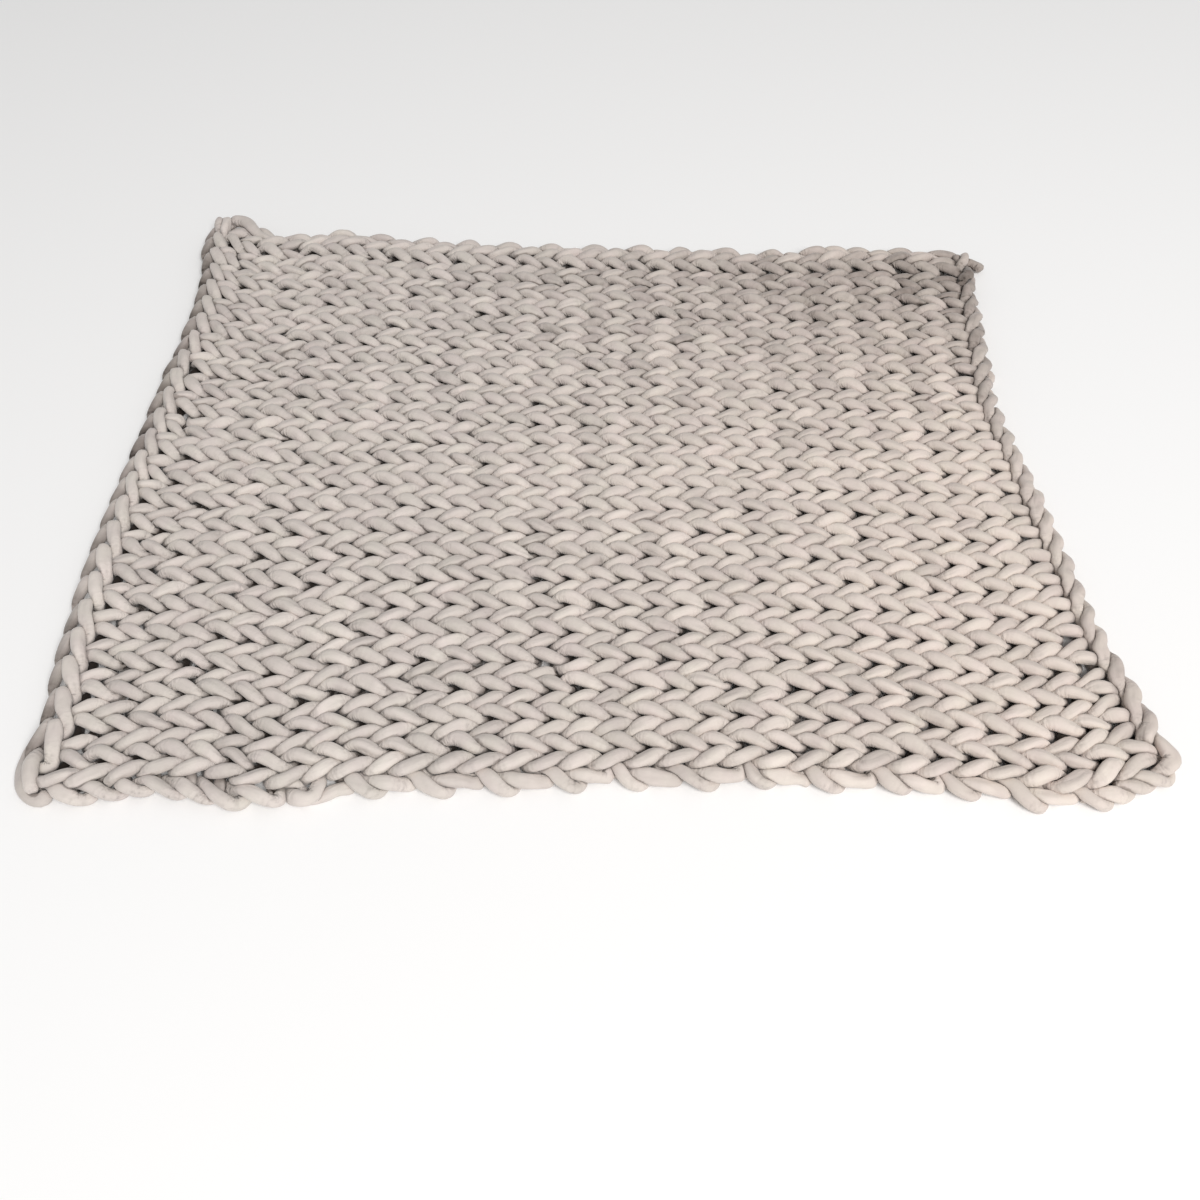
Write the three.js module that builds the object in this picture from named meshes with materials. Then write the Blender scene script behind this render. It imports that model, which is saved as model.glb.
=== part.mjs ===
// A chunky throw, hand-knitted from one fat stuffed tube of velvet and lying flat.
// Millimetres, +Z up, +X to the right and +Y to the back. The origin is under the middle of the
// throw's box, on the surface that it lies on.
import * as THREE from 'three';

// Driving dimensions
const YARN = 20; // thickness of the stuffed tube
const COURSES = 34; // stitches in a row, from the cast-on chain at the left to the rope at the right
const ROWS = 24; // rows of stitches, from the front edge to the back edge
const CHAIN_WIDTH = 46; // the flat cast-on chain along the left edge
const ROPE_WIDTH = 32; // the bind-off rope along the right edge
const CREST = 34; // top of a leg of a stitch
const ROPE_CREST = 35; // top of a turn of the rope
const MIDDLE_GROOVE = 26; // where two legs meet in the middle of a row
const GAP_FLOOR = 18; // the dark gap between two rows
const EDGE_TOP = 17; // where the edge starts to round down
const LEAN = 0.5; // how far a leg leans to the right across half a row, in stitches
const CHAIN_LEAN = 0.3; // how far a leaf of the chain leans to the back, in rows
const ROPE_LEAN = 0.4; // how far a turn of the rope leans to the back, in rows
const TOP_INSET = 4; // the edge's rounding at the top
const FOOT_INSET = 6; // and where it meets the surface
const CORNER_PULL = 9; // how far the corners are rounded in
const SCALLOP = 4; // half the depth of the looped edges' waves
const UNEVEN = 1.6; // how far hand work lifts or lowers a leg
const WANDER = 1.8; // and how far it moves a crossing sideways

// The throw's outline as it lies, along the middle of its waves, each edge from its first corner
const FRONT_EDGE = [
  { x: -758, y: -669 },
  { x: -693, y: -685 },
  { x: -553, y: -674 },
  { x: -418, y: -690 },
  { x: -323, y: -667 },
  { x: -143, y: -658 },
  { x: 97, y: -651 },
  { x: 297, y: -652 },
  { x: 487, y: -664 },
  { x: 617, y: -684 },
  { x: 707, y: -672 },
  { x: 785, y: -643 },
];
const BACK_EDGE = [
  { x: -770, y: 690 },
  { x: -728, y: 692 },
  { x: -673, y: 654 },
  { x: -593, y: 634 },
  { x: -508, y: 649 },
  { x: -393, y: 628 },
  { x: -193, y: 607 },
  { x: 27, y: 592 },
  { x: 207, y: 588 },
  { x: 342, y: 578 },
  { x: 497, y: 590 },
  { x: 667, y: 584 },
  { x: 752, y: 560 },
];
const LEFT_EDGE = [
  { x: -758, y: -669 },
  { x: -748, y: -558 },
  { x: -761, y: -428 },
  { x: -770, y: -228 },
  { x: -766, y: -8 },
  { x: -759, y: 202 },
  { x: -752, y: 362 },
  { x: -762, y: 502 },
  { x: -780, y: 612 },
  { x: -770, y: 690 },
];
const RIGHT_EDGE = [
  { x: 785, y: -643 },
  { x: 775, y: -538 },
  { x: 750, y: -398 },
  { x: 737, y: -218 },
  { x: 721, y: -38 },
  { x: 708, y: 102 },
  { x: 720, y: 232 },
  { x: 735, y: 362 },
  { x: 745, y: 472 },
  { x: 752, y: 560 },
];

// Worked out from the driving dimensions
const edgeCurve = (table) => new THREE.SplineCurve(table.map(({ x, y }) => new THREE.Vector2(x, y)));
const front = edgeCurve(FRONT_EDGE);
const back = edgeCurve(BACK_EDGE);
const left = edgeCurve(LEFT_EDGE);
const right = edgeCurve(RIGHT_EDGE);
const width = front.getLength();
const chainShare = CHAIN_WIDTH / width;
const stitchShare = (1 - (CHAIN_WIDTH + ROPE_WIDTH) / width) / COURSES;
const HALF_ROWS = 2 * ROWS;
const LAST_COLUMN = COURSES + 3;

// The same small uneven number, from -0.5 to 0.5, for the same two whole numbers
function uneven(i, k) {
  const wave = Math.sin(i * 12.9898 + k * 78.233) * 43758.5453;
  return wave - Math.floor(wave) - 0.5;
}

// A place on the throw, a from its left edge to its right and b from its front edge to its back
function place(a, b) {
  const corners = [FRONT_EDGE[0], FRONT_EDGE.at(-1), BACK_EDGE[0], BACK_EDGE.at(-1)];
  const share = [(1 - a) * (1 - b), a * (1 - b), (1 - a) * b, a * b];
  const point = new THREE.Vector2();
  point.addScaledVector(front.getPointAt(a), 1 - b).addScaledVector(back.getPointAt(a), b);
  point.addScaledVector(left.getPointAt(b), 1 - a).addScaledVector(right.getPointAt(b), a);
  corners.forEach((corner, n) => point.sub(new THREE.Vector2(corner.x, corner.y).multiplyScalar(share[n])));
  return point;
}

// The grid of crossings: column 0 is the left edge, column 1 the middle of the chain, columns 2 to
// COURSES + 2 the stitches, and the last column the right edge. Even lines run between two rows
// of stitches and odd lines along the middle of a row.
function gridShares(column, line) {
  const onEnd = line === 0 || line === HALF_ROWS;
  let a = 0;
  let b = line / HALF_ROWS;
  if (column === 1) {
    a = 0.55 * chainShare;
    b += onEnd ? 0 : CHAIN_LEAN / ROWS;
  } else if (column === LAST_COLUMN) {
    a = 1;
    b += onEnd ? 0 : ROPE_LEAN / ROWS;
  } else if (column > 1) {
    const stitch = column - 2;
    const leans = line % 2 === 0 && stitch > 0 && stitch < COURSES;
    a = chainShare + (stitch + (leans ? LEAN : 0)) * stitchShare;
  }
  return [a, Math.min(b, 1)];
}

// A point of the edge, that far in from the outline, with the waves of the loops and the rounded corners
function edgePoint(column, line, inset, height) {
  const [a, b] = gridShares(column, line);
  const onSide = column === 0 || column === LAST_COLUMN;
  const onEnd = line === 0 || line === HALF_ROWS;
  const corner = onSide && onEnd ? CORNER_PULL : 0;
  const wave = SCALLOP * (onSide ? Math.cos(Math.PI * line) : Math.cos(Math.PI * column));
  const pull = inset + corner - (corner ? 0 : wave) + WANDER * uneven(column, line);
  const flat = place(a, b);
  if (onSide) flat.x += a < 0.5 ? pull : -pull;
  if (onEnd) flat.y += b < 0.5 ? pull : -pull;
  return new THREE.Vector3(flat.x, flat.y, height);
}

// A crossing inside the edges
function crossing(column, line) {
  const [a, b] = gridShares(column, line);
  const flat = place(a, b);
  const betweenRows = line % 2 === 0;
  const height = betweenRows ? GAP_FLOOR : MIDDLE_GROOVE;
  return new THREE.Vector3(
    flat.x + WANDER * uneven(column, line),
    flat.y + WANDER * uneven(line, column),
    height + UNEVEN * uneven(column + 7, line),
  );
}

// Collects the points and triangles of one closed solid
function makeShell() {
  const points = [];
  const faces = [];
  return {
    points,
    faces,
    add(point) {
      points.push(point);
      return points.length - 1;
    },
    // Walls between two rings of equal length that run the same way, seen from outside
    band(lower, upper) {
      lower.forEach((low, n) => {
        const next = (n + 1) % lower.length;
        faces.push([low, lower[next], upper[next]], [low, upper[next], upper[n]]);
      });
    },
    // A raised leaf: its rim of grid points and a crest, moved by that much from the rim's middle
    leaf(rim, height, shift) {
      const crest = new THREE.Vector3();
      rim.forEach((n) => crest.addScaledVector(points[n], 1 / rim.length));
      crest.set(crest.x + shift.x, crest.y + shift.y, height);
      const top = this.add(crest);
      rim.forEach((n, at) => faces.push([n, rim[(at + 1) % rim.length], top]));
    },
  };
}

// The grid of point numbers, column by column
function makeGrid(shell) {
  const grid = [];
  for (let column = 0; column <= LAST_COLUMN; column += 1) {
    grid.push([]);
    for (let line = 0; line <= HALF_ROWS; line += 1) {
      const onEdge = column === 0 || column === LAST_COLUMN || line === 0 || line === HALF_ROWS;
      const point = onEdge ? edgePoint(column, line, TOP_INSET, EDGE_TOP) : crossing(column, line);
      grid[column].push(shell.add(point));
    }
  }
  return grid;
}

// The legs of the stitches, two to a stitch, the nearer one leaning to the front
function addStitches(shell, grid) {
  const legShift = { x: 12, y: 16 };
  for (let stitch = 0; stitch < COURSES; stitch += 1) {
    for (let half = 0; half < HALF_ROWS; half += 1) {
      const [near, far] = [grid[stitch + 2], grid[stitch + 3]];
      const rim = [near[half], far[half], far[half + 1], near[half + 1]];
      const alternate = stitch % 2 === 0 ? UNEVEN : -UNEVEN;
      shell.leaf(rim, CREST + alternate + 2 * UNEVEN * uneven(stitch, half), legShift);
    }
  }
}

// A column of leaves, one to a row of stitches, between two columns of the grid
function addLeaves(shell, inner, outer, height, shift) {
  for (let row = 0; row < ROWS; row += 1) {
    const line = 2 * row;
    const rim = [inner[line], outer[line], outer[line + 1], outer[line + 2], inner[line + 2], inner[line + 1]];
    shell.leaf(rim, height + 2 * UNEVEN * uneven(row, Math.round(height)), shift);
  }
}

// The ring of edge places, anticlockwise from the front left corner
function edgeRing() {
  const ring = [];
  for (let column = 0; column < LAST_COLUMN; column += 1) ring.push([column, 0]);
  for (let line = 0; line < HALF_ROWS; line += 1) ring.push([LAST_COLUMN, line]);
  for (let column = LAST_COLUMN; column > 0; column -= 1) ring.push([column, HALF_ROWS]);
  for (let line = HALF_ROWS; line > 0; line -= 1) ring.push([0, line]);
  return ring;
}

// The rounded edge and the flat underside that the throw lies on
function addEdgeAndUnderside(shell, grid) {
  const ring = edgeRing();
  const top = ring.map(([column, line]) => grid[column][line]);
  const side = ring.map(([column, line]) => shell.add(edgePoint(column, line, 0, YARN / 2)));
  const foot = ring.map(([column, line]) => shell.add(edgePoint(column, line, FOOT_INSET, 0)));
  shell.band(side, top);
  shell.band(foot, side);
  const outline = foot.map((n) => new THREE.Vector2(shell.points[n].x, shell.points[n].y));
  THREE.ShapeUtils.triangulateShape(outline, []).forEach(([a, b, c]) => {
    shell.faces.push([foot[a], foot[c], foot[b]]);
  });
}

// The point that the throw's box has at the middle of its underside
function boxFoot(points) {
  const box = new THREE.Box3().setFromPoints(points);
  const middle = box.getCenter(new THREE.Vector3());
  return middle.setZ(box.min.z);
}

function makeBlanket() {
  const shell = makeShell();
  const grid = makeGrid(shell);
  addStitches(shell, grid);
  addLeaves(shell, grid[0], grid[1], CREST - 4, { x: 7, y: 20 });
  addLeaves(shell, grid[1], grid[2], CREST, { x: 10, y: 12 });
  addLeaves(shell, grid[LAST_COLUMN - 1], grid[LAST_COLUMN], ROPE_CREST, { x: 9, y: 16 });
  addEdgeAndUnderside(shell, grid);
  const foot = boxFoot(shell.points);
  const geometry = new THREE.BufferGeometry();
  const places = shell.points.flatMap((point) => point.sub(foot).toArray());
  geometry.setAttribute('position', new THREE.Float32BufferAttribute(places, 3));
  geometry.setIndex(shell.faces.flat());
  geometry.computeVertexNormals();
  const velvet = new THREE.MeshStandardMaterial({ color: 0xd0c4bb, roughness: 0.9, metalness: 0 });
  const blanket = new THREE.Mesh(geometry, velvet);
  blanket.name = 'blanket';
  return blanket;
}

const throwGroup = new THREE.Group();
throwGroup.add(makeBlanket());

export default throwGroup;
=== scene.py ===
"""A chunky throw, hand-knitted from one fat stuffed tube of velvet, lying flat on a pale floor."""
import math

import bpy
import numpy as np
from mathutils.kdtree import KDTree
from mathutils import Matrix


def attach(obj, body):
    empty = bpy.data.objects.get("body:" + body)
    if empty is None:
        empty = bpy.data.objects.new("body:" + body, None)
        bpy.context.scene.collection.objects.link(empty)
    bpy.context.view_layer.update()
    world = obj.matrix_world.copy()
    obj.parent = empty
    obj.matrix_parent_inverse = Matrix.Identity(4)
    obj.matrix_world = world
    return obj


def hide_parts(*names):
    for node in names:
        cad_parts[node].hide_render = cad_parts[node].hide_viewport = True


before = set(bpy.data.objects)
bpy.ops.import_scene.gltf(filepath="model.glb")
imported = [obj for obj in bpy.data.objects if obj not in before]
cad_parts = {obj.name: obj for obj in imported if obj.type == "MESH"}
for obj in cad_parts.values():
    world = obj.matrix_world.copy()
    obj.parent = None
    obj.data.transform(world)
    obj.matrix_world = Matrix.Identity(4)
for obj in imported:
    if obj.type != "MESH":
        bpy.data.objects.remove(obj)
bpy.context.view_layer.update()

# Driving sizes, in metres, the same as in the solid
YARN = 0.020
COURSES = 34
ROWS = 24
CHAIN_WIDTH = 0.046
ROPE_WIDTH = 0.032

# The outline as it lies: x and y of each edge from its first corner
FRONT_EDGE = [
    (-0.758, -0.669), (-0.693, -0.685), (-0.553, -0.674), (-0.418, -0.690),
    (-0.323, -0.667), (-0.143, -0.658), (0.097, -0.651), (0.297, -0.652),
    (0.487, -0.664), (0.617, -0.684), (0.707, -0.672), (0.785, -0.643),
]
BACK_EDGE = [
    (-0.770, 0.690), (-0.728, 0.692), (-0.673, 0.654), (-0.593, 0.634),
    (-0.508, 0.649), (-0.393, 0.628), (-0.193, 0.607), (0.027, 0.592),
    (0.207, 0.588), (0.342, 0.578), (0.497, 0.590), (0.667, 0.584), (0.752, 0.560),
]
LEFT_EDGE = [
    (-0.758, -0.669), (-0.748, -0.558), (-0.761, -0.428), (-0.770, -0.228), (-0.766, -0.008),
    (-0.759, 0.202), (-0.752, 0.362), (-0.762, 0.502), (-0.780, 0.612), (-0.770, 0.690),
]
RIGHT_EDGE = [
    (0.785, -0.643), (0.775, -0.538), (0.750, -0.398), (0.737, -0.218), (0.721, -0.038),
    (0.708, 0.102), (0.720, 0.232), (0.735, 0.362), (0.745, 0.472), (0.752, 0.560),
]
CURVE_STEPS = 40  # points worked out from one of an edge's points to the next
CURVE_SAMPLES = 600  # evenly spaced points along a whole edge

# How the yarn runs through a stitch
LOOP_REACH = 0.80  # from the middle of a stitch to its ends, in stitches
LOOP_SWING = 1.66  # how far a leg leans
LOOP_MIDDLE = 0.0168  # height of the yarn's centre between front and back
LOOP_RISE = 0.0086  # how far the legs rise and the back loops drop from that
LOOP_LIFT = (0.0014, -0.0006)  # how much higher than that the near and the far leg rise
LOOP_HUMP = (0.18, 0.05)  # how far the middle of the near and the far leg bows to the back, in rows
LOOP_CREST = 0.28  # how far the highest place lies past the middle of a leg, in radians
LOOP_STEEP = 2.2  # how sharply the yarn dives between front and back
FIELD_FULL = 0.91  # the field yarn's usual thickness, in yarn thicknesses
LEG_FULL = 0.26  # how much fuller the yarn is in a leg than where it dives
LEG_MEAN = 0.7  # a fullness that changes nothing, where a leg's is 1
BACK_TURN_FULL = 1.3  # the fullness of the turns behind
STEPS = 28  # points along a stitch
STEPS_CLOSER = 0.17  # how much closer together they are along a leg
TURN_STEPS = 10  # points along the yarn's turn from one course to the next
SELVEDGE_INSET = 0.020  # from the outline to where the stitches begin
# A row, and how much nearer to the front it lies than evenly spaced rows would, in rows.
# All rows before the first one here have its value.
ROWS_NEARER = ((20, 0.50), (23, 0.40), (24, 0.06), (25, 0.0))

# The last course runs on under the rope, drops and gets thinner there.
# Where each of these begins, counted from the end of the last stitch, and over how long are in stitches.
LAST_LONGER = 0.40  # in stitches
LAST_LONGER_FROM, LAST_LONGER_RUN = -0.65, 0.8
LAST_HEIGHT = 0.0075  # of the yarn's centre
LAST_DROP_FROM, LAST_DROP_RUN = 0.10, 0.4
LAST_THINNER = 0.22  # in yarn thicknesses
LAST_THINNER_FROM, LAST_THINNER_RUN = -0.1, 0.5

# The outermost leg of every other course rolls over the edge, and the one between lies under it.
# Near the front left corner each lies plainly beside the next.
# Share of the leg's run, then its place in stitches and rows, and the height of the yarn's centre.
EDGE_OVER = [
    (0.00, -0.20, 0.80, 0.0085), (0.14, -0.06, 0.86, 0.0090), (0.28, 0.16, 0.78, 0.0105),
    (0.45, 0.48, 0.54, 0.0140), (0.62, 0.80, 0.31, 0.0155), (0.76, 1.10, 0.20, 0.0130),
    (0.88, 1.27, 0.27, 0.0090), (1.00, 1.31, 0.50, 0.0085),
]
EDGE_UNDER = [
    (0.00, -0.30, 0.62, 0.0090), (0.14, -0.22, 0.60, 0.0095), (0.28, -0.02, 0.46, 0.0110),
    (0.45, 0.30, 0.37, 0.0125), (0.62, 0.68, 0.35, 0.0125), (0.76, 0.98, 0.38, 0.0110),
    (0.88, 1.22, 0.42, 0.0090), (1.00, 1.31, 0.50, 0.0085),
]
EDGE_PLAIN = [
    (0.00, -0.34, 0.78, 0.0090), (0.14, -0.22, 0.80, 0.0120), (0.28, 0.00, 0.72, 0.0180),
    (0.45, 0.34, 0.56, 0.0215), (0.62, 0.70, 0.40, 0.0205), (0.76, 0.98, 0.32, 0.0150),
    (0.88, 1.23, 0.38, 0.0095), (1.00, 1.31, 0.50, 0.0085),
]
# The same at the back edge, with its rows counted from there
BACK_OVER = [
    (0.00, -0.31, 0.00, 0.0085), (0.12, -0.23, 0.10, 0.0100), (0.28, 0.06, 0.18, 0.0150),
    (0.45, 0.40, 0.20, 0.0200), (0.62, 0.74, 0.17, 0.0200), (0.76, 1.02, 0.10, 0.0150),
    (0.88, 1.26, 0.02, 0.0100), (1.00, 1.34, -0.08, 0.0090),
]
BACK_UNDER = [
    (0.00, -0.31, 0.00, 0.0085), (0.12, -0.24, 0.04, 0.0095), (0.28, 0.00, 0.08, 0.0110),
    (0.45, 0.34, 0.10, 0.0130), (0.62, 0.70, 0.09, 0.0130), (0.76, 1.02, 0.05, 0.0110),
    (0.88, 1.26, 0.00, 0.0095), (1.00, 1.34, -0.06, 0.0090),
]
PLAIN_COURSES = 7  # the courses from the chain that have the plain leg
EDGE_STEPS = 120  # parts that the curve through one of these tables is worked out in
EDGE_SMOOTH = 30  # how often that is evened out

# The cast-on chain, from the back edge to the front
CHAIN_STEPS = 30  # points along a link
CHAIN_BENT = (0.27, 1.73)  # the angles where a link begins and ends, in half turns
CHAIN_SWING = 1.55  # how far a link's legs lean
CHAIN_REACH = 0.80  # from the middle of a link to its tip, in links
CHAIN_FIRST = 0.45  # where the first link's middle lies, in links
CHAIN_SPARE = 0.9  # links that the chain's run has room for beside one to a row
CHAIN_START = 0.016  # from the back edge to the chain's run
CHAIN_SHORTER = 0.030  # how much shorter that run is than the edge
CHAIN_SIDE = 0.0012  # from the outline to the chain's band
CHAIN_WIDER = 0.001  # how much wider than CHAIN_WIDTH that band is
CHAIN_LIFT = 0.0025  # how much higher it lies than the stitches
CHAIN_OUTER_LOWER = 0.0150  # and how much lower at its outer side
CHAIN_LOWEST = 0.0095  # the least height of the yarn's centre
CHAIN_RADIUS = 0.0101
CHAIN_DIVE_THINNER = 0.12  # how much thinner it is where it dives, in its radius
CHAIN_OUTER_THINNER = 0.42  # and at its outer side
CHAIN_ROUND = (0.11, 0.0080)  # length and radius that a link's round ends are worked out from
CHAIN_TONE = 0.64
# painted shade: how much darker the chain's low outer side is painted
CHAIN_OUTER_PAINTED_SHADE = 0.80
CHAIN_UNEVEN_SIDE = 0.0010
CHAIN_UNEVEN_RADIUS = 0.0003
CHAIN_UNEVEN_TONE = 0.06

# The bind-off rope, from the back edge to the front
ROPE_STEPS = 24  # points along half a turn of a strand
ROPE_START = 0.012  # from the back edge to the rope
ROPE_SHORTER = 0.072  # how much shorter than the edge it is
ROPE_MIDDLE = 0.0188  # from the outline to its middle
ROPE_HEIGHT = 0.0218  # height of its middle
ROPE_TURN = 0.0054  # how far a strand swings to the sides of that
ROPE_RISE = 0.0056  # and up and down
ROPE_RADIUS = 0.0096
ROPE_END_DROP = 0.010  # how far the strands drop at the front corner
ROPE_END_SHARE = 0.015  # the share of their length that they do it in
ROPE_TONE = 0.45
ROPE_TONE_APART = 0.05  # how much lighter one strand is, and how much darker the other
ROPE_UNEVEN_RADIUS = 0.0006

# The strand low down behind the first course, and another behind the last, painted dark for the shade they
# lie in
LOW_STRAND_HEIGHT = 0.0078
LOW_STRAND_RADIUS = 0.0075
LOW_STRAND_WAVE = 0.003  # how far it swings to the sides
LOW_STRAND_STEPS = 12  # points to a row
LOW_STRAND_ENDS = (0.03, 0.97)  # in shares of the depth
LOW_STRAND_INSET = 0.002  # from the rope's inner side
# painted shade: the strands' very dark tone
LOW_STRAND_PAINTED_SHADE = 0.10

# Short runs of yarn at the corners: x, y and height of the yarn's centre
CORNER_LOOP = [
    (-0.727, -0.555, 0.010), (-0.736, -0.576, 0.013), (-0.745, -0.598, 0.013), (-0.747, -0.622, 0.012),
    (-0.740, -0.646, 0.012), (-0.728, -0.662, 0.012), (-0.714, -0.668, 0.012), (-0.704, -0.660, 0.010),
]
LAST_LEAF = [
    (-0.742, -0.600, 0.012), (-0.738, -0.626, 0.022), (-0.730, -0.650, 0.024), (-0.722, -0.668, 0.017),
]
KNOB = [(-0.757, 0.682, 0.027), (-0.755, 0.668, 0.025), (-0.751, 0.645, 0.016)]
ARCH = [
    (-0.752, 0.665, 0.019), (-0.734, 0.684, 0.025), (-0.710, 0.680, 0.026), (-0.686, 0.656, 0.023),
    (-0.661, 0.634, 0.016), (-0.637, 0.616, 0.011),
]
ROPE_END = [
    (0.762, -0.572, 0.013), (0.769, -0.588, 0.020), (0.779, -0.606, 0.019), (0.783, -0.622, 0.015),
    (0.770, -0.636, 0.012), (0.748, -0.646, 0.011), (0.724, -0.652, 0.011), (0.700, -0.654, 0.010),
]
NUB = [(0.725, 0.550, 0.014), (0.748, 0.546, 0.014), (0.766, 0.538, 0.012), (0.772, 0.530, 0.011)]
RUN_STEP = 0.004  # about the distance between the points that are worked out along them
RUN_LEAST = 8  # and the fewest of these
END_FULL = 0.0015  # how far a round end would go on past its last point

# The front edge's legs sag away from the next row here
LOOSE_MIDDLE = 4.6  # in stitches from the chain
LOOSE_BREADTH = 2.0
LOOSE_LIFT = 0.30  # how much wider the gap to the next row is, in rows
LOOSE_LIFT_FROM, LOOSE_LIFT_RUN = 0.85, 0.3  # the angle where that begins and over how much, in half turns
LOOSE_SAG = 0.10  # how far those legs move to the front, in rows
LOOSE_ROW = 0.5  # the row where both are strongest
LOOSE_THINNER = 0.10  # in yarn thicknesses

# How uneven the hand work is
UNEVEN_SIDE = 0.0028
UNEVEN_HEIGHT = 0.0018
UNEVEN_SIZE = 0.06  # in yarn thicknesses
UNEVEN_TONE = 0.08
UNEVEN_FORM = 0.08  # of the yarn's section, in radii
UNEVEN_FORM_EVERY = 6  # points along the yarn from one value of that to the next
FARTHEST_OUT = 1.9  # a value that drifts along the yarn stays within this many spreads
NEAR_CHAIN = 11  # the stitches near the chain are looser, fading over this many
LOOSER = 0.4  # how much more uneven their places are
THINNER = 0.06  # and how much thinner the yarn is pulled there
ALTERNATE = 0.05  # every other course is knitted a little fuller
ALTERNATE_HEIGHT = 0.0014
# painted sheen: how much lighter one course and how much darker the next is painted, for how the pile's
# direction catches the light
ALTERNATE_PAINTED_SHEEN = 0.12
ALTERNATE_NEAR = 0.45  # how much of these three the near legs have
ALTERNATE_FIRST = 0.3  # and how much of them the first course has, with more in each course after it

# How the turns of the yarn make room for each other
PRESS_REACH = 0.030  # how far away another turn still counts
PRESS_NEAR = 56  # the most points of other turns that count for one point
PRESS_SPACE = 0.74  # nearer than this, in yarn thicknesses, two centres are pushed apart
PRESS_TIMES = 24
PRESS_SHARE = 0.35  # how much of the way they go each time
PRESS_EVEN = 3  # how often the push is evened out along the yarn each time
PRESS_MOST = 0.0045  # the farthest that a centre is moved
PRESS_SKIP = 9  # this many points along the same yarn are no other turn
TOUCH_SKIP = 7  # the same where the surfaces meet
PRESS_LEAST = 1e-6  # far less than any push that matters, and keeps a division by nothing from failing
TOP = 0.039  # the yarn's centre stays its radius below this height
LOWEST = 0.30 * YARN  # and above this one
TINY = 1e-9  # the same for lengths

# The yarn's surface
SIDES = 18  # faces around the yarn
SURFACE_FULL = 1.04  # how much fuller than its radius it is where it is free
SURFACE_OVAL = 0.05  # how much wider than round it is, and how much lower
SURFACE_CORNER = 11.0  # how sharp the corner is where it is pressed flat
SURFACE_RANGE = (0.25, 4.0)  # the least and the most room that counts, in radii
ABOVE_FLOOR = 0.0002  # height of the lowest place of the surface
BAND_COURSES = 7  # courses of the field yarn in one piece

# Where light and shade are painted on the velvet, and where it is wrinkled
FIELD_TONE = 0.6  # the field yarn's usual tone, from 0 for dark to 1 for light
BACK_PAINTED_SHADE = 0.37  # painted shade: how much darker the velvet is painted toward the back, most of all at the right
BACK_FROM, BACK_RUN = -0.05, 0.6  # the y where that begins and over how long
BACK_LEFT_SHARE = 0.2  # how much of it is left at the left
LAST_ROWS_LESS = 0.55  # and how much less of it the last rows have
LAST_ROWS_FROM, LAST_ROWS_RUN = 0.50, 0.06  # the y again
FRONT_PAINTED_LIGHT = 0.14  # painted light: how much brighter the velvet is painted at the front right
RIGHT_FROM, RIGHT_RUN = -0.4, 1.0  # the x where the right begins to count and over how long
WARM_FROM, WARM_RUN = -0.25, 0.8  # and the x for the warmer tint there
DEEP_BELOW, DEEP_RUN = 0.0240, 0.008  # painted shade: the sides of the yarn are painted darker below this height, for the shade deep between the turns
BEHIND_BELOW, BEHIND_RUN = 0.0135, 0.003  # and all of it where its centre lies below this one
DEEP_INSIDE, DEEP_INSIDE_RUN = 0.024, 0.020  # that begins this far inside the outline
DEEP_AROUND = 0.6  # how far round the yarn it goes, strongest on top and fading out underneath
BEND_GAIN, BEND_FROM = 2.6, 0.25  # how a bend gathers the velvet on its inner side
DIVE_GAIN, DIVE_FROM, DIVE_MOST = 2.2, 0.6, 0.3  # and a dive all round the yarn

# The velvet: how fine its patterns are, to the metre, how strong they are and its colours
WRINKLES_FINE = 240.0
SOFT_FOLDS_FINE = 38.0
NAP_FINE = 55.0
HUE_FINE = 26.0
PILE_FINE = 900.0
WRINKLE_GAIN = 3.6
NAP_SHADE = 0.35
CREASE_FROM, CREASE_GAIN, CREASE_MOST = 0.05, 5.0, 0.36  # painted shade: how much darker a place that is pressed flat against another turn is painted, for the shade in its crease
# how dark the painted shade of the deep places is
DEEP_SHADE = 0.9
RELIEF_HEIGHT = 0.006  # in metres, and the heights after it are shares of it
WRINKLE_ALL_OVER = 0.02  # how much of the wrinkles there is where nothing is gathered
WRINKLE_HEIGHT = 0.45
SOFT_FOLD_HEIGHT = 0.30
PILE_HEIGHT = 0.03
VELVET_COLOURS = (  # shade and colour, from the deepest to the lightest
    (0.0, (0.030, 0.023, 0.019, 1)), (0.18, (0.230, 0.200, 0.184, 1)),
    (0.6, (0.556, 0.508, 0.482, 1)), (1.0, (0.740, 0.680, 0.640, 1)),
)
HUE_PINK = (1.0, 0.955, 0.975, 1)
HUE_GREEN = (0.97, 1.0, 0.950, 1)
WARM_TINT = (1.0, 0.970, 0.948, 1)  # at the right

# The floor, the light and the camera
FLOOR_SIZE = 14
FLOOR_WHITE = (0.96, 0.96, 0.96, 1)
SKY_LIGHT = 0.46
LAMP_SIZE = 3.6
LAMP_POWER = 560
LAMP_COLOUR = (1.0, 0.985, 0.97)
LAMP_PLACE = (2.4, -5.6, 6.4)
LAMP_TILT = (40, 18)  # about X and Y, in degrees
CAMERA_PLACE = (0.0195, -1.588, 1.47)
CAMERA_TILT = 45  # from straight down, in degrees
CAMERA_SENSOR = 36
CAMERA_LENS = 38.4
CAMERA_SHIFT = -94 / 1200

RANDOM = np.random.default_rng(11)


def share_of(value, start, run):
    """How far a value has come from its start along a run, from 0 to 1."""
    return np.clip((value - start) / run, 0, 1)


def soft_step(value, start, run):
    """The same share, but starting and ending gently."""
    share = share_of(value, start, run)
    return share**2 * (3 - 2 * share)


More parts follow.
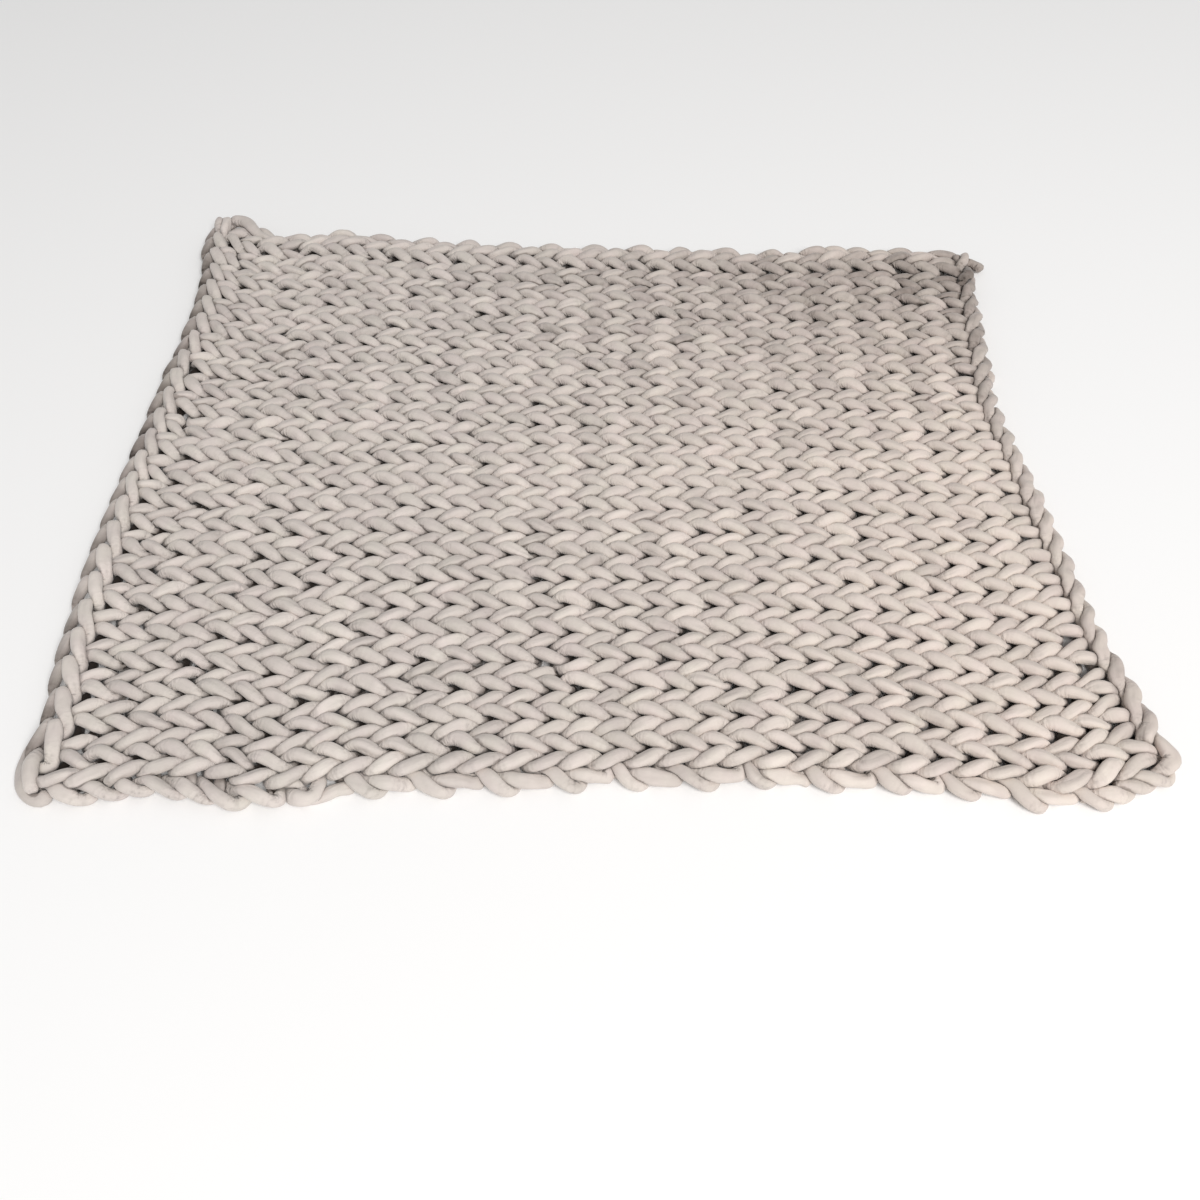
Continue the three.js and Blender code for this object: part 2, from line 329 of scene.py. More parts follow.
def edge_curve(points):
    """A smooth curve through an edge's points, as evenly spaced samples, and its length."""
    points = np.array(points)
    points = np.vstack([2 * points[0] - points[1], points, 2 * points[-1] - points[-2]])
    t = np.linspace(0, 1, CURVE_STEPS, endpoint=False)[:, None]
    runs = []
    for a, b, c, d in zip(points, points[1:], points[2:], points[3:]):
        cubic = (-a + 3 * b - 3 * c + d) * t**3 + (2 * a - 5 * b + 4 * c - d) * t**2
        runs.append(0.5 * (cubic + (c - a) * t) + b)
    curve = np.vstack(runs + [points[-2:-1]])
    along = np.concatenate([[0], np.cumsum(np.linalg.norm(np.diff(curve, axis=0), axis=1))])
    even = np.linspace(0, along[-1], CURVE_SAMPLES)
    return np.stack([np.interp(even, along, curve[:, k]) for k in range(2)], axis=1), along[-1]


FRONT, WIDTH = edge_curve(FRONT_EDGE)
BACK, _ = edge_curve(BACK_EDGE)
LEFT, DEPTH = edge_curve(LEFT_EDGE)
RIGHT, _ = edge_curve(RIGHT_EDGE)
STITCH = (WIDTH - CHAIN_WIDTH - ROPE_WIDTH) / COURSES
ROW = (DEPTH - 2 * SELVEDGE_INSET) / ROWS


def on_edge(curve, share):
    """The points at shares of an edge's length."""
    at = np.clip(share, 0, 1) * (len(curve) - 1)
    return np.stack([np.interp(at, np.arange(len(curve)), curve[:, k]) for k in range(2)], axis=-1)


def place(a, b):
    """A place on the throw, a from its left edge to its right and b from front to back."""
    u, v = np.clip(a, 0, 1)[..., None], np.clip(b, 0, 1)[..., None]
    point = on_edge(FRONT, a) * (1 - v) + on_edge(BACK, a) * v
    point += on_edge(LEFT, b) * (1 - u) + on_edge(RIGHT, b) * u
    point -= FRONT[0] * (1 - u) * (1 - v) + FRONT[-1] * u * (1 - v)
    point -= BACK[0] * (1 - u) * v + BACK[-1] * u * v
    point[..., 0] += (a - np.clip(a, 0, 1)) * WIDTH
    point[..., 1] += (b - np.clip(b, 0, 1)) * DEPTH
    return point


def knit_place(stitch, row):
    """The same for a count of stitches from the chain and of rows from the front."""
    row = row - np.interp(row, *zip(*ROWS_NEARER))
    return place((CHAIN_WIDTH + stitch * STITCH) / WIDTH, (SELVEDGE_INSET + row * ROW) / DEPTH)


def smooth(values, times=1):
    """The values evened out along their first axis, with both ends kept."""
    for _ in range(times):
        values = values.copy()
        values[1:-1] = (values[:-2] + 2 * values[1:-1] + values[2:]) / 4
    return values


def wander(count, every, size):
    """Values that drift smoothly along the yarn, new ones after that many points."""
    knots = RANDOM.normal(0, size, count // every + 3)
    knots = np.clip(knots, -FARTHEST_OUT * size, FARTHEST_OUT * size)
    values = np.interp(np.arange(count) / every, np.arange(len(knots)), knots)
    return smooth(values, every // 2)


class Yarn:
    """One run of yarn: the points down its middle, its radius there and the tone of its velvet."""

    def __init__(self, points, radius, tone):
        self.points = points
        self.radius = radius
        self.tone = tone


def loop_height(t):
    """Height of the yarn's centre round a stitch, from the back up to the leg, its crest and down again."""
    half = np.mod(t, math.pi)
    wave = -np.cos(2 * half - 2 * LOOP_CREST * np.sin(half))
    return LOOP_MIDDLE + LOOP_RISE * np.tanh(LOOP_STEEP * wave) / math.tanh(LOOP_STEEP)


def edge_leg(table, share):
    """The outermost leg's stitch, row and height at shares of its run, on a smooth curve."""
    table = np.array(table)
    fine = np.linspace(0, 1, EDGE_STEPS + 1)
    curve = np.stack([smooth(np.interp(fine, table[:, 0], table[:, k]), EDGE_SMOOTH) for k in (1, 2, 3)])
    return np.stack([np.interp(share, fine, row) for row in curve], axis=1)


def course(number):
    """The yarn through one course, from the front edge to the back: stitch, row, height, angle."""
    t = np.arange(STEPS * ROWS + 1) * 2 * math.pi / STEPS
    t += STEPS_CLOSER * np.sin(2 * t)
    t = t[t >= math.pi - 0.001]
    stitch = 0.5 - LOOP_REACH * np.cos(t)
    near_leg = np.sin(t) > 0
    row = (t + LOOP_SWING * np.sin(2 * t)) / (2 * math.pi)
    row += np.where(near_leg, *LOOP_HUMP) * np.sin(t) ** 4
    height = loop_height(t) + np.where(near_leg, *LOOP_LIFT) * np.sin(t) ** 2
    knit = np.stack([stitch, row, height], axis=1)
    share = np.linspace(0, 1, STEPS + 1)
    front_table = EDGE_OVER if number % 2 else EDGE_UNDER
    if number < PLAIN_COURSES:
        front_table = EDGE_PLAIN
    front = edge_leg(front_table, share)
    back = edge_leg(BACK_OVER if number % 2 else BACK_UNDER, share)
    back[:, 1] += ROWS
    knit = np.vstack([front[:-1], knit, back[1:]])
    t = np.concatenate([math.pi * share[:-1], t, (2 * ROWS + share[1:]) * math.pi])
    knit[:, 0] += number
    knit[:, 0] += LAST_LONGER * soft_step(knit[:, 0] - COURSES, LAST_LONGER_FROM, LAST_LONGER_RUN)
    drop = soft_step(knit[:, 0] - COURSES, LAST_DROP_FROM, LAST_DROP_RUN)
    knit[:, 2] -= np.maximum(knit[:, 2] - LAST_HEIGHT, 0) * drop
    return np.column_stack([knit, t])


def turn(end, start):
    """The yarn's turn under the edge from one course to the next."""
    share = (1 - np.cos(np.linspace(0, math.pi, TURN_STEPS + 2)[1:-1]))[:, None] / 2
    link = end + (start - end) * share
    link[:, 3] = 0
    return link


def knit_path():
    """All courses in one run, each turned to the next at an edge, and the course of each point."""
    runs, owner = [], []
    for number in range(COURSES):
        run = course(number)
        if number % 2:
            run = run[::-1]
        if runs:
            link = turn(runs[-1][-1], run[0])
            runs.append(link)
            owner.append(np.full(len(link), number - 0.5))
        runs.append(run)
        owner.append(np.full(len(run), float(number)))
    return np.vstack(runs), np.concatenate(owner)


def field_yarn():
    """The whole knitted yarn, uneven as by hand, and the course of each of its points."""
    knit, owner = knit_path()
    count = len(knit)
    loose = np.exp(-((knit[:, 0] - LOOSE_MIDDLE) / LOOSE_BREADTH) ** 2)
    edge_row = np.maximum(knit[:, 1], 0) / LOOSE_ROW
    lift = LOOSE_LIFT * share_of(knit[:, 3] / math.pi, LOOSE_LIFT_FROM, LOOSE_LIFT_RUN)
    knit[:, 1] += (lift - LOOSE_SAG) * loose * edge_row * np.exp(1 - edge_row)
    near_chain = np.exp(-(np.maximum(knit[:, 0], 0) / NEAR_CHAIN) ** 2)
    looser = 1 + LOOSER * near_chain
    points = np.column_stack([knit_place(knit[:, 0], knit[:, 1]), knit[:, 2]])
    points[:, 0] += wander(count, STEPS // 2, UNEVEN_SIDE) * looser
    points[:, 1] += wander(count, STEPS // 2, UNEVEN_SIDE) * looser
    points[:, 2] += wander(count, STEPS // 2, UNEVEN_HEIGHT) * looser
    leg = np.sin(knit[:, 3]) ** 2
    far_leg = np.clip(-np.sin(knit[:, 3]), 0, 1)
    fuller = np.cos(math.pi * owner) * leg
    fuller *= ALTERNATE_NEAR + (1 - ALTERNATE_NEAR) * far_leg
    fuller *= ALTERNATE_FIRST + (1 - ALTERNATE_FIRST) * owner / COURSES
    points[:, 2] += ALTERNATE_HEIGHT * fuller
    full = leg + BACK_TURN_FULL * np.cos(knit[:, 3]) ** 8
    size = FIELD_FULL - LEG_FULL * (LEG_MEAN - full) + ALTERNATE * fuller
    size += wander(count, STEPS // 2, UNEVEN_SIZE)
    size -= THINNER * near_chain + LOOSE_THINNER * loose * np.exp(-edge_row)
    size -= LAST_THINNER * share_of(knit[:, 0] - COURSES, LAST_THINNER_FROM, LAST_THINNER_RUN)
    # Every other course painted lighter and the ones between darker, as painted sheen of the pile's
    # direction
    tone = FIELD_TONE + ALTERNATE_PAINTED_SHEEN * fuller + wander(count, STEPS // 2, UNEVEN_TONE)
    return Yarn(smooth(points, 1), YARN / 2 * size, tone), owner


def chain_links():
    """The cast-on chain along the left edge: hairpin links, each out of the one before."""
    t = np.linspace(CHAIN_BENT[0] * math.pi, CHAIN_BENT[1] * math.pi, CHAIN_STEPS)
    across = (t + CHAIN_SWING * np.sin(2 * t)) / (2 * math.pi)
    outer = np.clip(1 - 2 * across, 0, 1)
    a = (CHAIN_SIDE + across * (CHAIN_WIDTH + CHAIN_WIDER)) / WIDTH
    pitch = (DEPTH - CHAIN_SHORTER) / (ROWS + CHAIN_SPARE)
    height = np.maximum(loop_height(t) + CHAIN_LIFT - CHAIN_OUTER_LOWER * outer, CHAIN_LOWEST)
    full = 1 - CHAIN_DIVE_THINNER * (LEG_MEAN - np.sin(t) ** 2) - CHAIN_OUTER_THINNER * outer
    full *= round_ends(np.linspace(0, 1, len(t)), *CHAIN_ROUND)
    links = []
    for number in range(ROWS):
        along = number + CHAIN_FIRST - CHAIN_REACH * np.cos(t)
        b = 1 - (CHAIN_START + along * pitch) / DEPTH
        points = np.column_stack([place(a, b), height])
        points[:, :2] += RANDOM.normal(0, CHAIN_UNEVEN_SIDE, 2)
        radius = (CHAIN_RADIUS + RANDOM.normal(0, CHAIN_UNEVEN_RADIUS)) * full
        tone = CHAIN_TONE - CHAIN_OUTER_PAINTED_SHADE * outer + RANDOM.normal(0, CHAIN_UNEVEN_TONE)
        links.append(Yarn(points, radius, tone))
    return links


def low_strand(from_left):
    """The strand that an outer course is picked up from or bound off with, low behind its stitches, painted
    dark for the shade there.
    """
    share = np.linspace(*LOW_STRAND_ENDS, LOW_STRAND_STEPS * ROWS)
    a = (from_left + LOW_STRAND_WAVE * np.cos(2 * math.pi * ROWS * share)) / WIDTH
    same = np.ones(len(share))
    points = np.column_stack([place(a, share), LOW_STRAND_HEIGHT * same])
    return Yarn(points, LOW_STRAND_RADIUS * same, LOW_STRAND_PAINTED_SHADE * same)


def round_ends(share, length, radius):
    """How full a run of yarn is at shares of its length, so that both its ends are round."""
    near_end = np.minimum(share, 1 - share) * length + END_FULL
    return np.sqrt(1 - np.clip(1 - near_end / radius, 0, 1) ** 2)


def rope_strands():
    """The bind-off rope along the right edge: two strands round each other, half a turn to a row."""
    lay = np.linspace(0, 1, ROPE_STEPS * ROWS + 1)
    b = 1 - (ROPE_START + lay * (DEPTH - ROPE_SHORTER)) / DEPTH
    drop = ROPE_END_DROP * share_of(lay, 1 - ROPE_END_SHARE, ROPE_END_SHARE) ** 2
    strands = []
    for phase in (0.0, math.pi):
        angle = math.pi * ROWS * lay + phase
        across = ROPE_MIDDLE - ROPE_TURN * np.cos(angle)
        height = ROPE_HEIGHT + ROPE_RISE * np.sin(angle) - drop
        points = np.column_stack([place(1 - across / WIDTH, b), height])
        radius = ROPE_RADIUS + wander(len(lay), ROPE_STEPS, ROPE_UNEVEN_RADIUS)
        radius *= round_ends(lay, DEPTH, ROPE_RADIUS)
        tone = ROPE_TONE + ROPE_TONE_APART * np.cos(phase) + wander(len(lay), ROPE_STEPS, UNEVEN_TONE)
        strands.append(Yarn(points, radius, tone))
    return strands


def short_run(places, radius, tone):
    """A short run of yarn through a few places, round at both ends."""
    places = np.array(places)
    even, length = edge_curve(places[:, :2])
    steps = np.linspace(0, 1, max(int(length / RUN_STEP), RUN_LEAST))
    height = smooth(np.interp(steps, np.linspace(0, 1, len(places)), places[:, 2]), 2)
    points = np.column_stack([on_edge(even, steps), height])
    return Yarn(points, radius * round_ends(steps, length, radius), np.full(len(points), tone))


def neighbours(points, run, skip):
    """For each point some near points of other turns of yarn, and which of the slots are filled."""
    tree = KDTree(len(points))
    for n, p in enumerate(points):
        tree.insert(p, n)
    tree.balance()
    index = np.zeros((len(points), PRESS_NEAR), int)
    filled = np.zeros((len(points), PRESS_NEAR), bool)
    for n, p in enumerate(points):
        near = [m for _, m, _ in tree.find_range(p, PRESS_REACH) if abs(m - n) > skip or run[m] != run[n]]
        near = near[:PRESS_NEAR]
        index[n, :len(near)] = near
        filled[n, :len(near)] = True
    return index, filled


def make_room(points, radius, run, index, filled):
    """Moves turns of the yarn apart where they press too deep into each other."""
    start = points.copy()
    inside = np.zeros(len(points), bool)
    inside[1:-1] = (run[1:-1] == run[:-2]) & (run[1:-1] == run[2:])
    space = PRESS_SPACE * (radius[:, None] + radius[index])
    for _ in range(PRESS_TIMES):
        gap = points[index] - points[:, None]
        far = np.sqrt((gap**2).sum(-1)) + TINY
        press = np.where(filled, np.maximum(space - far, 0), 0)
        weight = press**2 + PRESS_LEAST**2
        push = -(gap / far[..., None] * (press * weight)[..., None]).sum(1) / weight.sum(1)[:, None]
        moved = points + PRESS_SHARE * push - start
        for _ in range(PRESS_EVEN):
            even = moved.copy()
            even[1:-1] = (moved[:-2] + 2 * moved[1:-1] + moved[2:]) / 4
            moved = np.where(inside[:, None], even, moved)
        size = np.linalg.norm(moved, axis=1)[:, None]
        moved *= np.minimum(1, PRESS_MOST / np.maximum(size, TINY))
        points = start + moved
        points[:, 2] = np.clip(points[:, 2], LOWEST, TOP - radius)
    return points


def yarn_frames(points):
    """Directions along the yarn, to its side and up from it, at each point."""
    along = np.gradient(points, axis=0)
    along /= np.linalg.norm(along, axis=1)[:, None]
    up = np.array([0, 0, 1.0]) - along * along[:, 2:3]
    up /= np.linalg.norm(up, axis=1)[:, None]
    return along, np.cross(along, up), up


def yarn_surface(rows, points, radius, index, filled):
    """Rings of surface points: round where free, flat where the yarn meets another turn or the floor."""
    own = points[rows]
    along, side, up = yarn_frames(own)
    angle = np.arange(SIDES) * 2 * math.pi / SIDES
    out = side[:, None] * np.cos(angle)[None, :, None] + up[:, None] * np.sin(angle)[None, :, None]
    form = 1 + SURFACE_OVAL * np.cos(2 * angle)[None] * np.ones((len(own), 1))
    for order in (1, 2, 3):
        form += wander(len(own), UNEVEN_FORM_EVERY, UNEVEN_FORM)[:, None] * np.cos(order * angle)[None]
        form += wander(len(own), UNEVEN_FORM_EVERY, UNEVEN_FORM)[:, None] * np.sin(order * angle)[None]
    gap = points[index[rows]] - own[:, None]
    far = (gap**2).sum(-1)
    size = radius[rows]
    share = size[:, None] / (size[:, None] + radius[index[rows]])
    reach = np.full(out.shape[:2], 1.0)
    for k in range(index.shape[1]):
        toward = (out * gap[:, None, k]).sum(-1)
        limit = far[:, None, k] * share[:, None, k] / np.maximum(toward, TINY)
        reach = np.minimum(reach, np.where(filled[rows][:, None, k] & (toward > TINY), limit, 1.0))
    down = -out[..., 2]
    floor = own[:, None, 2] / np.maximum(down, TINY)
    reach = np.minimum(reach, np.where(down > TINY, floor, 1.0))
    full = SURFACE_FULL * size[:, None] * form
    ratio = np.clip(reach / full, *SURFACE_RANGE)
    soft = smooth((1 + ratio**-SURFACE_CORNER) ** (-1 / SURFACE_CORNER))
    distance = soft * full
    bend = np.gradient(along, axis=0) / np.linalg.norm(np.gradient(own, axis=0), axis=1)[:, None]
    inner = (out * bend[:, None]).sum(-1) * size[:, None]
    rings = own[:, None] + out * distance[..., None]
    rings[..., 2] = np.maximum(rings[..., 2], ABOVE_FLOOR)
    return rings, inner, 1 - soft


def shadowed(places):
    """How much darker the velvet is painted toward the back, as painted shade, and less than nothing where
    it is painted brighter at the front right, as painted light.
    """
    back = share_of(places[:, 1], BACK_FROM, BACK_RUN)
    back -= LAST_ROWS_LESS * share_of(places[:, 1], LAST_ROWS_FROM, LAST_ROWS_RUN)
    right = share_of(places[:, 0], RIGHT_FROM, RIGHT_RUN)
    back_painted_shade = BACK_PAINTED_SHADE * back * (BACK_LEFT_SHARE + (1 - BACK_LEFT_SHARE) * right)
    return back_painted_shade - FRONT_PAINTED_LIGHT * (1 - back) * right**2


def ring_values(yarn, rings, inner, pressed, outline):
    """What the velvet's look follows: place along and around, bends, contact, depth and tone; the depth is
    painted shade, and the tone carries painted light and shade across the throw.
    """
    middle = rings.mean(axis=1)
    length = np.concatenate([[0], np.cumsum(np.linalg.norm(np.diff(middle, axis=0), axis=1))])
    shape = rings.shape[:2]
    from_edge = np.array([outline.find((x, y, 0))[2] for x, y, _ in middle])
    inside = share_of(from_edge, DEEP_INSIDE, DEEP_INSIDE_RUN)[:, None]
    angle = np.arange(SIDES) * 2 * math.pi / SIDES
    # Painted shade: low parts inside the outline are painted darker for the shade between the turns
    behind = share_of(BEHIND_BELOW - middle[:, 2:], 0, BEHIND_RUN)
    deep_painted_shade = np.maximum(share_of(DEEP_BELOW - rings[..., 2], 0, DEEP_RUN), behind)
    step = np.gradient(middle, axis=0)
    steep = np.abs(step[:, 2:]) / np.linalg.norm(step, axis=1)[:, None]
    dive = np.clip(DIVE_GAIN * steep - DIVE_FROM, 0, DIVE_MOST)
    bend = np.clip(BEND_GAIN * inner - BEND_FROM, 0, 1)
    warm = share_of(middle[:, 0], WARM_FROM, WARM_RUN)
    return {
        "deep_painted_shade": deep_painted_shade * inside * np.clip(np.sin(angle) + DEEP_AROUND, 0, 1),
        "along": np.broadcast_to(length[:, None], shape),
        "around_x": np.broadcast_to(np.cos(angle)[None], shape),
        "around_y": np.broadcast_to(np.sin(angle)[None], shape),
        "warm": np.broadcast_to(warm[:, None], shape),
        "gather": smooth(np.maximum(bend, dive), 2),
        "pressed": pressed,
        "tone": np.broadcast_to((yarn.tone - shadowed(middle))[:, None], shape),
    }


def tube_mesh(name, tubes):
    """One mesh of closed tubes, each of its rings and the values of its points."""
    points, faces, values = [], [], {}
    first = 0
    for rings, own in tubes:
        count, sides = rings.shape[:2]
        grid = first + np.arange(count * sides).reshape(count, sides)
        a, b = grid[:-1], grid[1:]
        quads = np.stack([a, np.roll(a, -1, 1), np.roll(b, -1, 1), b], axis=-1)
        faces += quads.reshape(-1, 4).tolist() + [grid[0][::-1].tolist(), grid[-1].tolist()]
        points.append(rings.reshape(-1, 3))
        first += count * sides
        for key, value in own.items():
            values.setdefault(key, []).append(value.reshape(-1))
    mesh = bpy.data.meshes.new(name)
    mesh.from_pydata(np.vstack(points), [], faces)
    mesh.polygons.foreach_set("use_smooth", [True] * len(mesh.polygons))
    for key, value in values.items():
        layer = mesh.attributes.new(key, "FLOAT", "POINT")
        layer.data.foreach_set("value", np.concatenate(value).astype(np.float32))
    mesh.update()
    piece = bpy.data.objects.new(name, mesh)
    bpy.context.scene.collection.objects.link(piece)
    return piece


def add_node(tree, kind, **settings):
    """A new shader node with its settings."""
    node = tree.nodes.new(kind)
    for key, value in settings.items():
        setattr(node, key, value)
    return node


def value_of(tree, name):
    """The socket of a value that the mesh's points carry."""
    return add_node(tree, "ShaderNodeAttribute", attribute_name=name).outputs["Fac"]


def feed(tree, sockets, values):
    """Gives each socket its value, or links it where the value is a socket too."""
    for socket, value in zip(sockets, values):
        if hasattr(value, "links"):
            tree.links.new(value, socket)
        else:
            socket.default_value = value


def math_node(tree, operation, a, b):
    """The result of one step of arithmetic on two numbers or sockets."""
    node = add_node(tree, "ShaderNodeMath", operation=operation)
    feed(tree, node.inputs, (a, b))
    return node.outputs[0]


def noise(tree, vector, scale, detail):
    """A soft random pattern in space."""
    node = add_node(tree, "ShaderNodeTexNoise")
    tree.links.new(vector, node.inputs["Vector"])
    node.inputs["Scale"].default_value = scale
    node.inputs["Detail"].default_value = detail
    return node.outputs["Fac"]


def mixed(tree, blend, factor, first, second):
    """A colour mixed from two, each of them a colour or a socket."""
    node = add_node(tree, "ShaderNodeMix", data_type="RGBA", blend_type=blend)
    feed(tree, (node.inputs[0], node.inputs[6], node.inputs[7]), (factor, first, second))
    return node.outputs[2]


def colour_ramp(tree, shade, stops):
    """The colours blended along a shade from 0 to 1, through stops of a place and a colour."""
    node = add_node(tree, "ShaderNodeValToRGB")
    elements = node.color_ramp.elements
    elements[0].position, elements[0].color = stops[0]
    elements[1].position, elements[1].color = stops[-1]
    for at, colour in stops[1:-1]:
        elements.new(at).color = colour
    tree.links.new(shade, node.inputs["Fac"])
    return node.outputs["Color"]


def along_yarn(tree, fine, around):
    """Coordinates that go along the yarn and around it."""
    scales = {"along": fine, "around_x": around, "around_y": around}
    scaled = [math_node(tree, "MULTIPLY", value_of(tree, key), scale) for key, scale in scales.items()]
    node = add_node(tree, "ShaderNodeCombineXYZ")
    feed(tree, node.inputs, scaled)
    return node.outputs[0]


def velvet_shade(tree, here, wrinkles, gather):
    """How light the velvet is: its tone and nap, less painted shade in the wrinkles' valleys, in the
    creases and in the deep places.
    """
    # Painted shade in the valleys of the wrinkles where the velvet is gathered
    valley_painted_shade = math_node(tree, "MAXIMUM", math_node(tree, "SUBTRACT", 0.0, wrinkles), 0.0)
    valley_painted_shade = math_node(tree, "MULTIPLY", valley_painted_shade, gather)
    # Painted shade in the creases where the yarn is pressed flat against another turn
    crease_painted_shade = math_node(tree, "SUBTRACT", value_of(tree, "pressed"), CREASE_FROM)
    crease_painted_shade = math_node(tree, "MULTIPLY", crease_painted_shade, CREASE_GAIN)
    crease_painted_shade = math_node(tree, "MINIMUM", math_node(tree, "MAXIMUM", crease_painted_shade, 0.0), CREASE_MOST)
    # Painted shade of the deep places
    deep_painted_shade = math_node(tree, "MULTIPLY", value_of(tree, "deep_painted_shade"), DEEP_SHADE)
    nap = math_node(tree, "MULTIPLY", noise(tree, here, NAP_FINE, detail=4.0), NAP_SHADE)
    shade = math_node(tree, "ADD", value_of(tree, "tone"), nap)
    for darker in (valley_painted_shade, crease_painted_shade, deep_painted_shade):
        shade = math_node(tree, "SUBTRACT", shade, darker)
    return shade


def velvet_relief(tree, here, wrinkles, gather):
    """How high the velvet stands: wrinkles where it is gathered, soft folds and a fine pile."""
    height = math_node(tree, "MULTIPLY", wrinkles, math_node(tree, "ADD", gather, WRINKLE_ALL_OVER))
    height = math_node(tree, "MULTIPLY", height, WRINKLE_HEIGHT)
    soft_folds = noise(tree, along_yarn(tree, SOFT_FOLDS_FINE, around=1.1), scale=1.0, detail=2.0)
    height = math_node(tree, "ADD", height, math_node(tree, "MULTIPLY", soft_folds, SOFT_FOLD_HEIGHT))
    pile = noise(tree, here, PILE_FINE, detail=2.0)
    return math_node(tree, "ADD", height, math_node(tree, "MULTIPLY", pile, PILE_HEIGHT))


def velvet():
    """Pale warm velvet: tone from turn to turn with painted light and shade across the throw, a blotchy
    nap, gathers at the bends, painted shade in the creases, wrinkle valleys and deep places, fine pile.
    """
    material = bpy.data.materials.new("velvet_yarn")
    material.use_nodes = True
    tree = material.node_tree
    shader = tree.nodes["Principled BSDF"]
    here = add_node(tree, "ShaderNodeNewGeometry").outputs["Position"]
    gather = value_of(tree, "gather")
    wrinkles = noise(tree, along_yarn(tree, WRINKLES_FINE, around=1.0), scale=1.0, detail=1.0)
    wrinkles = math_node(tree, "MULTIPLY", math_node(tree, "SUBTRACT", wrinkles, 0.5), WRINKLE_GAIN)
    colour = colour_ramp(tree, velvet_shade(tree, here, wrinkles, gather), VELVET_COLOURS)
    hue = mixed(tree, "MIX", noise(tree, here, HUE_FINE, detail=2.0), HUE_PINK, HUE_GREEN)
    colour = mixed(tree, "MULTIPLY", 1.0, colour, hue)
    colour = mixed(tree, "MULTIPLY", value_of(tree, "warm"), colour, WARM_TINT)
    tree.links.new(colour, shader.inputs["Base Color"])
    bump = add_node(tree, "ShaderNodeBump")
    bump.inputs["Strength"].default_value = 1.0
    bump.inputs["Distance"].default_value = RELIEF_HEIGHT
    tree.links.new(velvet_relief(tree, here, wrinkles, gather), bump.inputs["Height"])
    tree.links.new(bump.outputs["Normal"], shader.inputs["Normal"])
    shader.inputs["Roughness"].default_value = 0.9
    shader.inputs["Specular IOR Level"].default_value = 0.2
    shader.inputs["Sheen Weight"].default_value = 0.25
    shader.inputs["Sheen Roughness"].default_value = 0.45
    return material


def outline_tree():
    """The outline's points, for finding the nearest."""
    edge = np.vstack([FRONT, BACK, LEFT, RIGHT])
    tree = KDTree(len(edge))
    for n, (x, y) in enumerate(edge):
        tree.insert((x, y, 0), n)
    tree.balance()
    return tree


def left_yarns():
    """The chain, the turns of yarn at its corners and the low strand beside it."""
    return chain_links() + [
        short_run(CORNER_LOOP, radius=0.0105, tone=0.42),
        short_run(LAST_LEAF, radius=0.0100, tone=0.6),
        low_strand(CHAIN_WIDTH),
        short_run(KNOB, radius=0.0115, tone=0.5),
        short_run(ARCH, radius=0.0112, tone=0.55),
    ]


def right_yarns():
    """The rope, its bend round the front corner, its end at the back and the low strand beside it."""
    return rope_strands() + [
        short_run(ROPE_END, radius=0.0105, tone=0.5),
        short_run(NUB, radius=0.0100, tone=0.4),
        low_strand(WIDTH - ROPE_WIDTH - LOW_STRAND_INSET),
    ]


def make_tubes(yarns):
    """The surface of every run of yarn, pressed on the others, with the values for its look."""
    points = np.vstack([yarn.points for yarn in yarns])
    radius = np.concatenate([yarn.radius for yarn in yarns])
    run = np.repeat(np.arange(len(yarns)), [len(yarn.points) for yarn in yarns])
    points = make_room(points, radius, run, *neighbours(points, run, PRESS_SKIP))
    index, filled = neighbours(points, run, TOUCH_SKIP)
    outline = outline_tree()
    tubes = []
    for number, yarn in enumerate(yarns):
        rows = np.flatnonzero(run == number)
        rings, inner, pressed = yarn_surface(rows, points, radius, index, filled)
        tubes.append((rings, ring_values(yarn, rings, inner, pressed, outline)))
    return tubes


def knit_bands(tube, owner):
    """The field's one long tube as bands of a few courses, which meet at the turns under the edge."""
    rings, values = tube
    bands = []
    for first in range(0, COURSES, BAND_COURSES):
        # A turn lies half a course before the course that it leads to, and stays with the one it leaves
        here = (owner > first - 0.5) & (owner <= first + BAND_COURSES - 0.5)
        rows = np.flatnonzero(here)
        cut = slice(rows[0], rows[-1] + 2)
        own = {key: value[cut] for key, value in values.items()}
        bands.append(tube_mesh(f"knit_{len(bands) + 1}", [(rings[cut], own)]))
    return bands


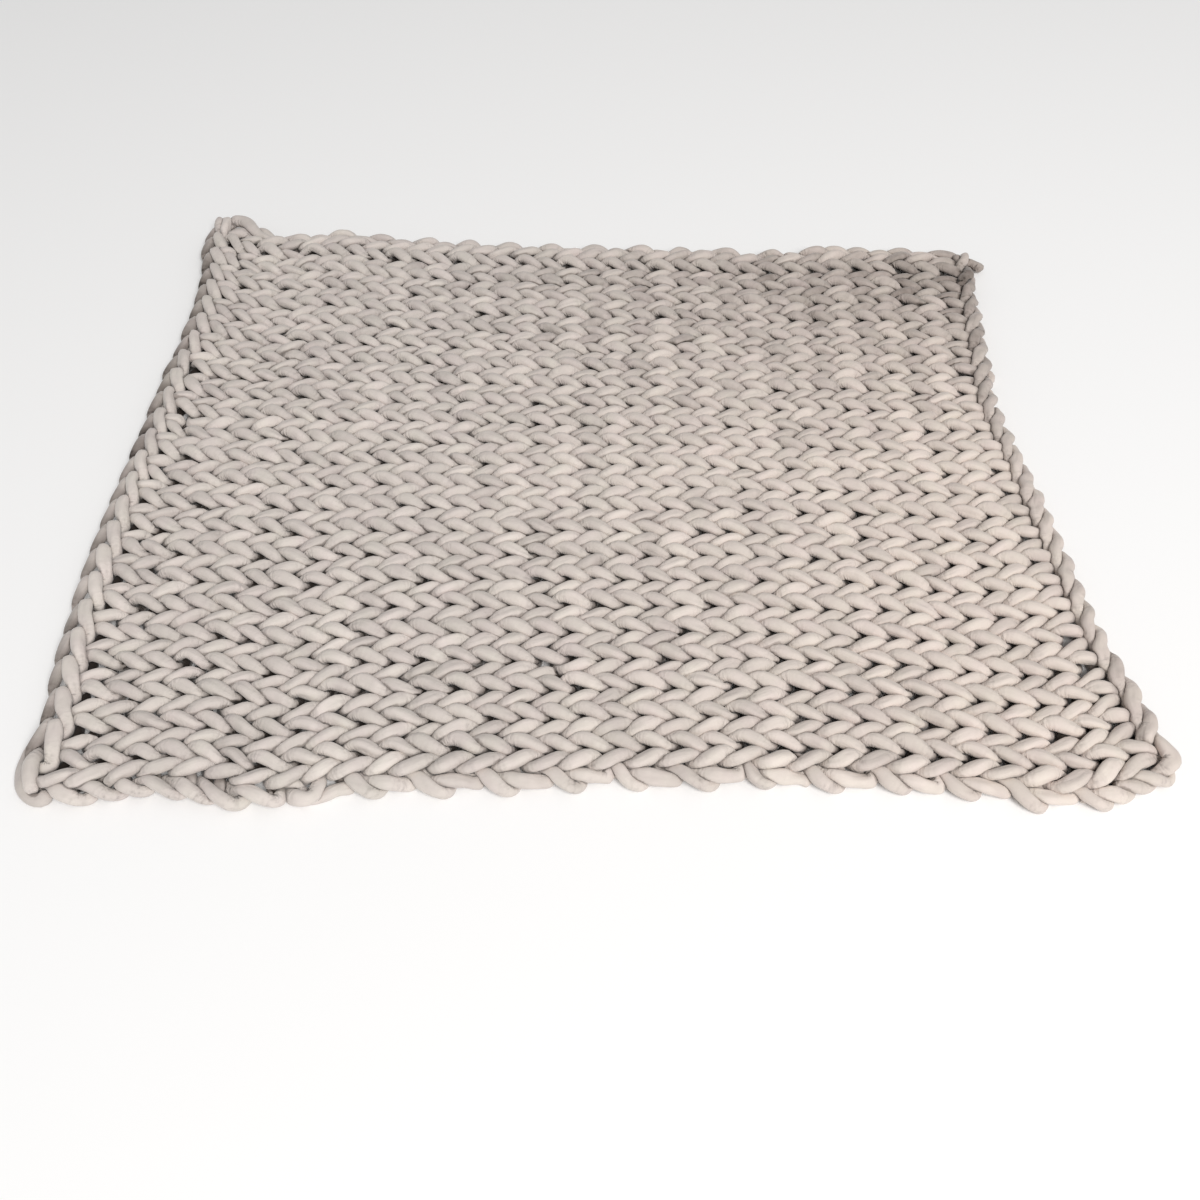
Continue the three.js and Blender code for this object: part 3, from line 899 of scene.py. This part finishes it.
def make_throw():
    """All pieces of the throw, in one velvet."""
    field, owner = field_yarn()
    left = left_yarns()
    right = right_yarns()
    tubes = make_tubes([field] + left + right)
    pieces = knit_bands(tubes[0], owner)
    pieces.append(tube_mesh("cast_on_chain", tubes[1:1 + len(left)]))
    pieces.append(tube_mesh("bind_off_rope", tubes[1 + len(left):]))
    material = velvet()
    for piece in pieces:
        piece.data.materials.append(material)
    return pieces


def make_floor():
    """A plain pale floor."""
    bpy.ops.mesh.primitive_plane_add(size=FLOOR_SIZE, location=(0, 0, 0))
    floor = bpy.context.object
    floor.name = "floor"
    material = bpy.data.materials.new("floor")
    material.use_nodes = True
    shader = material.node_tree.nodes["Principled BSDF"]
    shader.inputs["Base Color"].default_value = FLOOR_WHITE
    shader.inputs["Roughness"].default_value = 0.9
    floor.data.materials.append(material)


def make_lights():
    """Even light from all around, and a large soft lamp from the front right."""
    world = bpy.data.worlds.new("studio")
    world.use_nodes = True
    background = world.node_tree.nodes["Background"]
    background.inputs["Color"].default_value = (1, 1, 1, 1)
    background.inputs["Strength"].default_value = SKY_LIGHT
    bpy.context.scene.world = world
    lamp = bpy.data.lights.new("soft_box", "AREA")
    lamp.size = LAMP_SIZE
    lamp.energy = LAMP_POWER
    lamp.color = LAMP_COLOUR
    lamp_object = bpy.data.objects.new("soft_box", lamp)
    lamp_object.location = LAMP_PLACE
    lamp_object.rotation_euler = (math.radians(LAMP_TILT[0]), math.radians(LAMP_TILT[1]), 0)
    bpy.context.scene.collection.objects.link(lamp_object)


def make_camera():
    """The camera at the photograph's angle, in front of the throw and looking down."""
    camera = bpy.data.cameras.new("camera")
    camera.sensor_width = CAMERA_SENSOR
    camera.lens = CAMERA_LENS
    camera.shift_y = CAMERA_SHIFT
    camera_object = bpy.data.objects.new("camera", camera)
    camera_object.location = CAMERA_PLACE
    camera_object.rotation_euler = (math.radians(CAMERA_TILT), 0, 0)
    bpy.context.scene.collection.objects.link(camera_object)
    bpy.context.scene.camera = camera_object
    bpy.context.scene.view_settings.view_transform = "Standard"


make_camera()
make_floor()
make_lights()
for piece in make_throw():
    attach(piece, "root")
    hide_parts("blanket")
